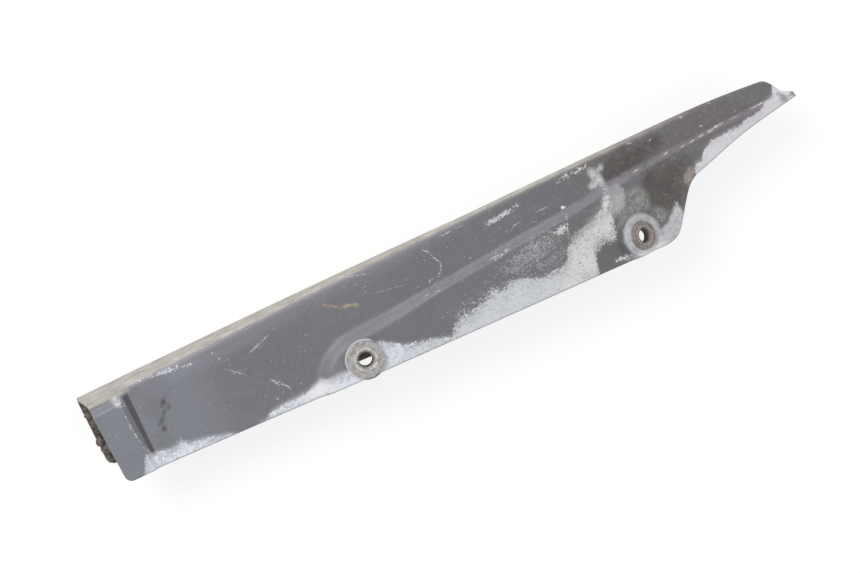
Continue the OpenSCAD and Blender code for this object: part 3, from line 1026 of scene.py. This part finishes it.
def panel_color(g, big, mid, fine, slow, streaks, rough_edge, soft_edge):
    """Greyed moulding with painted highlights along its upper bend and on the step, and with grime and
    stains.
    """
    color = g.blend(g.step(g.x, -115.0, -35.0), srgb(122, 124, 131), srgb(107, 107, 111))
    color = g.blend(g.step(g.x, 20.0, 200.0), color, srgb(99, 93, 94))
    color = g.blend(g.step(slow, 0.38, 0.66) * 0.6, color, srgb(102, 102, 106))
    color = g.blend(g.step(mid, 0.45, 0.75) * 0.3, color, srgb(126, 126, 130))
    color = g.blend(g.step(streaks, 0.55, 0.75) * 0.12, color, srgb(150, 150, 154))
    # Painted highlight: a lighter band along the top of the panel, where it turns into the bend
    bend_highlight = g.fade(g.field("lavender") + soft_edge, -3.0, 4.0)
    color = g.blend(bend_highlight * 0.32, color, srgb(142, 142, 150))
    # Painted highlight: the step's slope and its crest are lighter where they face the lamp
    slope = g.field("slope") * g.step(mid, 0.1, 0.5)
    color = g.blend(slope, color, srgb(139, 136, 142))
    dark = g.fade(g.field("dark_panel") + rough_edge, -2.0, 2.0)
    color = g.blend(dark * 0.7, color, srgb(92, 88, 92))
    grime = g.fade(g.field("grime") + soft_edge + rough_edge, -3.0, 3.0)
    soot = g.blend(g.step(big * 0.5 + mid * 0.5, 0.38, 0.64), srgb(64, 59, 56), srgb(82, 78, 74))
    color = g.blend(grime * (0.88 - slope * 0.8), color, soot)
    spots = g.fade(g.field("dark_spots") + rough_edge * 0.6, -0.9, 0.9)
    color = g.blend(spots * 0.8, color, srgb(62, 60, 62))
    ochre = g.fade(g.field("ochre") + rough_edge * 0.4, -0.4, 0.5) * g.step(fine, 0.36, 0.54)
    color = g.blend(ochre * 0.7, color, srgb(178, 158, 122))
    green = g.fade(g.field("green_grey") + rough_edge * 2, -2.0, 1.6)
    speckle = g.step(fine * 0.5 + mid * 0.5, 0.42, 0.58)
    green_color = g.blend(speckle, srgb(104, 105, 101), srgb(146, 147, 142))
    return g.blend(green * 0.75, color, green_color)


def wear_and_highlight_color(g, color, wear, big, mid, fine, streaks, rough_edge):
    """Whitened places, flakes, scratches and chips over the panel's colour, and a painted highlight on the
    front pad's rim.
    """
    milk_color = g.blend(g.step(mid, 0.3, 0.7), srgb(170, 172, 178), srgb(202, 204, 206))
    color = g.blend(wear["milk"] * 0.8, color, milk_color)
    mottle_color = g.blend(g.step(mid, 0.4, 0.6), srgb(190, 182, 184), srgb(200, 201, 204))
    color = g.blend(wear["mottle"] * 0.38, color, mottle_color)
    color = g.blend(wear["veil"], color, srgb(196, 198, 206))
    rear, tail = g.step(g.x, 92.0, 122.0), g.step(g.x, 180.0, 195.0)
    pale = g.blend(g.step(g.x, -10.0, 45.0), srgb(219, 221, 228), srgb(205, 207, 211))
    pale = g.blend(tail, g.blend(rear, pale, srgb(211, 212, 208)), srgb(215, 211, 215))
    dull = g.blend(tail, g.blend(rear, srgb(172, 174, 181), srgb(168, 169, 167)), srgb(196, 192, 197))
    deep = g.fade(g.field("white"), -5.5, -0.5)
    shade = fine * 0.4 + mid * 0.3 + big * 0.15 + streaks * 0.12 + deep * 0.05
    white = g.blend(g.step(shade, 0.42, 0.56), dull, pale)
    color = g.blend(wear["cover"] * 0.93, color, white)
    color = g.blend(wear["marks"] * 0.7, color, srgb(206, 205, 203))
    color = g.blend(wear["specks"] * 0.55, color, srgb(200, 200, 202))
    color = g.blend(wear["chips"] * 0.85, color, srgb(230, 220, 212))
    tip = g.fade(g.field("tip") + rough_edge * 0.8, -0.8, 0.8)
    color = g.blend(tip * 0.7, color, srgb(124, 121, 124))
    notch = g.fade(g.field("notch") + rough_edge * 1.6, -1.6, 1.2) * g.step(fine, 0.3, 0.6)
    color = g.blend(notch * 0.7, color, srgb(176, 162, 152))
    # Painted highlight: a light crescent on the front pad's rim, only on the side towards the lamp
    rim = g.fade(g.field("pad_rim_highlight") + rough_edge * 0.1, -0.1, 0.4) * g.step(g.y - g.x, -3.0, 5.0)
    color = g.blend(rim * 0.75, color, srgb(212, 214, 218))
    blobs = g.fade(g.field("blobs") + rough_edge, -1.2, 0.8)
    blob_color = g.blend(g.step(mid, 0.4, 0.6), srgb(168, 170, 171), srgb(214, 215, 215))
    color = g.blend(blobs * 0.8, color, blob_color)
    bright = g.fade(g.field("bright") + rough_edge * 1.2, -1.6, 1.6)
    color = g.blend(bright * 0.75, color, srgb(229, 226, 228))
    return g.blend(g.fade(g.field("dots"), -0.3, 0.3), color, srgb(236, 238, 236))


def dirt_light_and_shade_color(g, color, big, mid, fine, streaks):
    """Dust and painted light on the upper side, painted shade and dirt in the band's step, a painted shadow
    line along the lower edge, and dirt inside the channel.
    """
    # Dust and painted light: the upper side and its bend are lighter, partly from dust and partly as
    # painted light where they face the lamp
    fold = g.field("fold")
    corner = g.step(g.y + (big - 0.5) * 2, 36.0, 37.6) * g.fade(g.x, -121.0, -112.0)
    dust_and_light = (g.step(fold, 0.1, 1.6) * g.fade(g.x, 130.0, 235.0)).most(corner)
    dust = g.step(big * 0.4 + streaks * 0.45 + fine * 0.15, 0.40, 0.60)
    dust_and_light_color = g.blend(dust, srgb(160, 155, 148), srgb(190, 186, 178))
    color = g.blend(dust_and_light * 0.92, color, dust_and_light_color)
    # Painted shade with some dirt: a dark strip in the band's step, just right of its edge
    away = g.math("ABSOLUTE", g.x - (BAND_X + 0.7)) - g.step(g.y, 0.0, 34.0) * 0.5
    step_shade_and_dirt = g.fade(away + (fine - 0.5) * 0.8, 0.6, 1.5) * g.fade(g.y, 34.5, 38.0) * g.step(g.y, 0.5, 4.0)
    color = g.blend(step_shade_and_dirt * 0.85, color, srgb(62, 56, 58))
    # Painted shadow: a thin dark line along the lower edge
    edge = g.fade(g.field("above_edge") + (fine - 0.5) * 0.5, 0.1, 0.8)
    color = g.blend(edge * 0.7, color, srgb(92, 90, 92))
    inside_wall = g.step(g.field("skin_depth"), 1.6, 2.2)
    soot = g.blend(g.step(big * 0.5 + mid * 0.5, 0.4, 0.6), srgb(52, 48, 45), srgb(92, 86, 78))
    return g.blend(inside_wall, color, soot), dust_and_light


def grease_material():
    """Dry grey-brown grease with pale dust on it."""
    g = Graph("dry_grease")
    coarse, fine = g.noise(2.6, 4, 0.6), g.noise(0.7, 4, 0.65)
    color = g.blend(g.step(coarse, 0.38, 0.6), srgb(74, 66, 61), srgb(120, 111, 104))
    color = g.blend(g.step(fine, 0.55, 0.72) * 0.5, color, srgb(150, 142, 132))
    return g.finish(color, 0.85, g.bump(coarse * 0.5 + fine * 0.5, 0.3), specular=0.3)


def collar_material(name, faces, lip_highlight_color, bore_color, lip_r, dark_bore_r):
    """Dull steel with a painted highlight on the lip round the mouth, a darker bore, and painted shade
    under the flange.
    """
    g = Graph(name)
    radius, height = g.field("radius"), g.field("height")
    spots, fine = g.noise(1.7, 4, 0.68), g.noise(0.55, 3, 0.65)
    color = g.blend(g.step(spots * 0.7 + fine * 0.3, 0.40, 0.60), faces[0], faces[1])
    color = g.blend(g.step(g.noise(4.5, 3, 0.6), 0.5, 0.64) * 0.7, color, faces[2])
    # Painted highlight: a lighter ring on the lip round the mouth
    lip = g.fade(g.math("ABSOLUTE", radius - lip_r) + (spots - 0.5) * 1.2, 0.1, 0.6)
    color = g.blend(lip * 0.75, color, lip_highlight_color)
    # Darker in the bore
    inner = g.fade(radius + (spots - 0.5) * 0.9, dark_bore_r, dark_bore_r + 0.7)
    color = g.blend(inner * 0.85, color, bore_color)
    # Painted shade: darker under the flange and down the sleeve
    under = g.fade(height, -0.3, 0.25)
    color = g.blend(under * 0.6, color, bore_color)
    rough = 0.42 + 0.3 * spots
    return g.finish(color, rough, g.bump(spots * 0.6 + fine * 0.4, 0.12), metallic=0.35)


def make_room():
    """Soft even light, plain white where the camera looks past the object."""
    world = bpy.data.worlds.new("soft_room")
    bpy.context.scene.world = world
    world.use_nodes = True
    tree = world.node_tree
    tree.nodes.clear()
    link = tree.links.new
    out = new_node(tree, "OutputWorld")
    room = new_node(tree, "Background")
    room.inputs["Color"].default_value = (0.97, 0.98, 1.0, 1)
    room.inputs["Strength"].default_value = 0.55
    white = new_node(tree, "Background")
    white.inputs["Strength"].default_value = 1.0
    path = new_node(tree, "LightPath")
    either = new_node(tree, "Math")
    either.operation = "MAXIMUM"
    mixer = new_node(tree, "MixShader")
    link(path.outputs["Is Camera Ray"], either.inputs[0])
    link(path.outputs["Is Transmission Ray"], either.inputs[1])
    link(either.outputs[0], mixer.inputs[0])
    link(room.outputs[0], mixer.inputs[1])
    link(white.outputs[0], mixer.inputs[2])
    link(mixer.outputs[0], out.inputs["Surface"])


def make_lamp(name, at, size, power):
    """Round soft lamp aimed at the middle of the guard; places and size in metres."""
    data = bpy.data.lights.new(name, "AREA")
    data.shape = "DISK"
    data.size = size
    data.energy = power
    lamp = new_object(name, data)
    turn = (Vector(LAMP_AIM) - Vector(at)).to_track_quat("-Z", "Y").to_matrix().to_4x4()
    lamp.matrix_world = Matrix.Translation(at) @ turn


def make_floor():
    """Pale floor; the camera sees it nearly white, with a faint shadow."""
    low = cad_box[0][2]
    size = 3.0
    mesh = bpy.data.meshes.new("floor")
    corners = [(-size, -size, low), (size, -size, low), (size, size, low), (-size, size, low)]
    mesh.from_pydata(corners, [], [(0, 1, 2, 3)])
    floor = new_object("floor", mesh)
    g = Graph("pale_floor")
    link = g.tree.links.new
    plain, seen = (new_node(g.tree, "BsdfDiffuse") for _ in range(2))
    plain.inputs["Color"].default_value = (0.9, 0.9, 0.89, 1)
    seen.inputs["Color"].default_value = (0.24, 0.24, 0.235, 1)
    lift = new_node(g.tree, "Emission")
    lift.inputs["Strength"].default_value = 0.78
    both = new_node(g.tree, "AddShader")
    link(seen.outputs[0], both.inputs[0])
    link(lift.outputs[0], both.inputs[1])
    path = new_node(g.tree, "LightPath")
    mixer = new_node(g.tree, "MixShader")
    link(path.outputs["Is Camera Ray"], mixer.inputs[0])
    link(plain.outputs[0], mixer.inputs[1])
    link(both.outputs[0], mixer.inputs[2])
    link(mixer.outputs[0], g.output.inputs["Surface"])
    mesh.materials.append(g.material)


def dress(obj, material, slot, *nodes):
    """Gives a piece its material and its body, and hides the solids that it stands for; its slot is not
    used.
    """
    obj.data.materials.clear()
    obj.data.materials.append(material)
    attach(obj, "root")
    if nodes:
        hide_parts(*nodes)


# Collar colours; the lip colour is a painted highlight
FRONT_STEEL = dict(
    faces=(srgb(186, 182, 179), srgb(138, 134, 131), srgb(166, 168, 170)),
    lip_highlight_color=srgb(214, 208, 199), bore_color=srgb(58, 50, 44), lip_r=5.6, dark_bore_r=3.4)
REAR_STEEL = dict(
    faces=(srgb(158, 148, 142), srgb(124, 115, 109), srgb(114, 112, 103)),
    lip_highlight_color=srgb(176, 167, 162), bore_color=srgb(84, 82, 78), lip_r=5.0, dark_bore_r=3.4)

make_camera()
make_room()
make_lamp("key", (-0.45, 0.95, 1.1), size=0.8, power=14)
make_lamp("fill", (0.8, -0.5, 1.2), size=1.0, power=4)
make_floor()
dress(make_guard(), moulding_material(), "moulding", "guard")
front = make_collar("front_steel_collar", at_front, 3, **FRONT_COLLAR)
dress(front, collar_material("front_steel", **FRONT_STEEL), "collar_steel", "front_collar")
rear = make_collar("rear_steel_collar", at_rear, 5, **REAR_COLLAR)
dress(rear, collar_material("rear_steel", **REAR_STEEL), "rusty_steel", "rear_collar")
dress(make_grease(), grease_material(), "moulding")

bpy.context.scene.view_settings.view_transform = "Standard"
